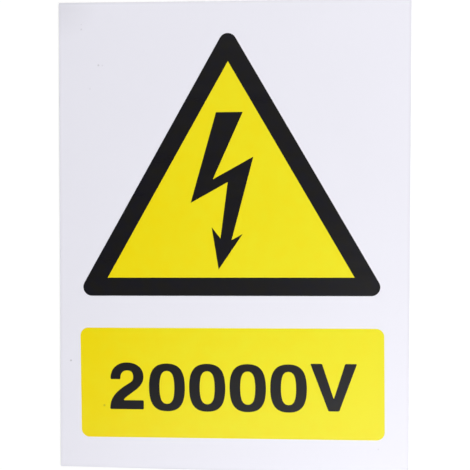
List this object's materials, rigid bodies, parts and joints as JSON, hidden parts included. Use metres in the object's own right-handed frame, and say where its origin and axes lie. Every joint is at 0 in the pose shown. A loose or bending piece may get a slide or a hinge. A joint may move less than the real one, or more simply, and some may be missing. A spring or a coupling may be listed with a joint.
{
  "type": "high voltage warning sign",
  "caption": "Flat rectangular plastic safety sign with a black-bordered yellow triangle, a lightning arrow and a yellow number panel.",
  "frame": {"origin": "centre of the sheet's flat back face", "axes": "+Z out of the printed face, +Y up the sign towards the triangle's apex, +X to the reader's right"},
  "size_m": [0.15, 0.2, 0.0011],
  "materials": {
    "white_sheet": "satin rigid PVC sheet",
    "yellow_ink": "screen-printed ink, satin",
    "black_ink": "screen-printed ink, satin"
  },
  "bodies": {
    "root": {"sign_sheet": "white_sheet", "triangle_field": "yellow_ink", "triangle_border": "black_ink", "lightning_arrow": "black_ink", "number_panel": "yellow_ink"}
  },
  "joints": []
}
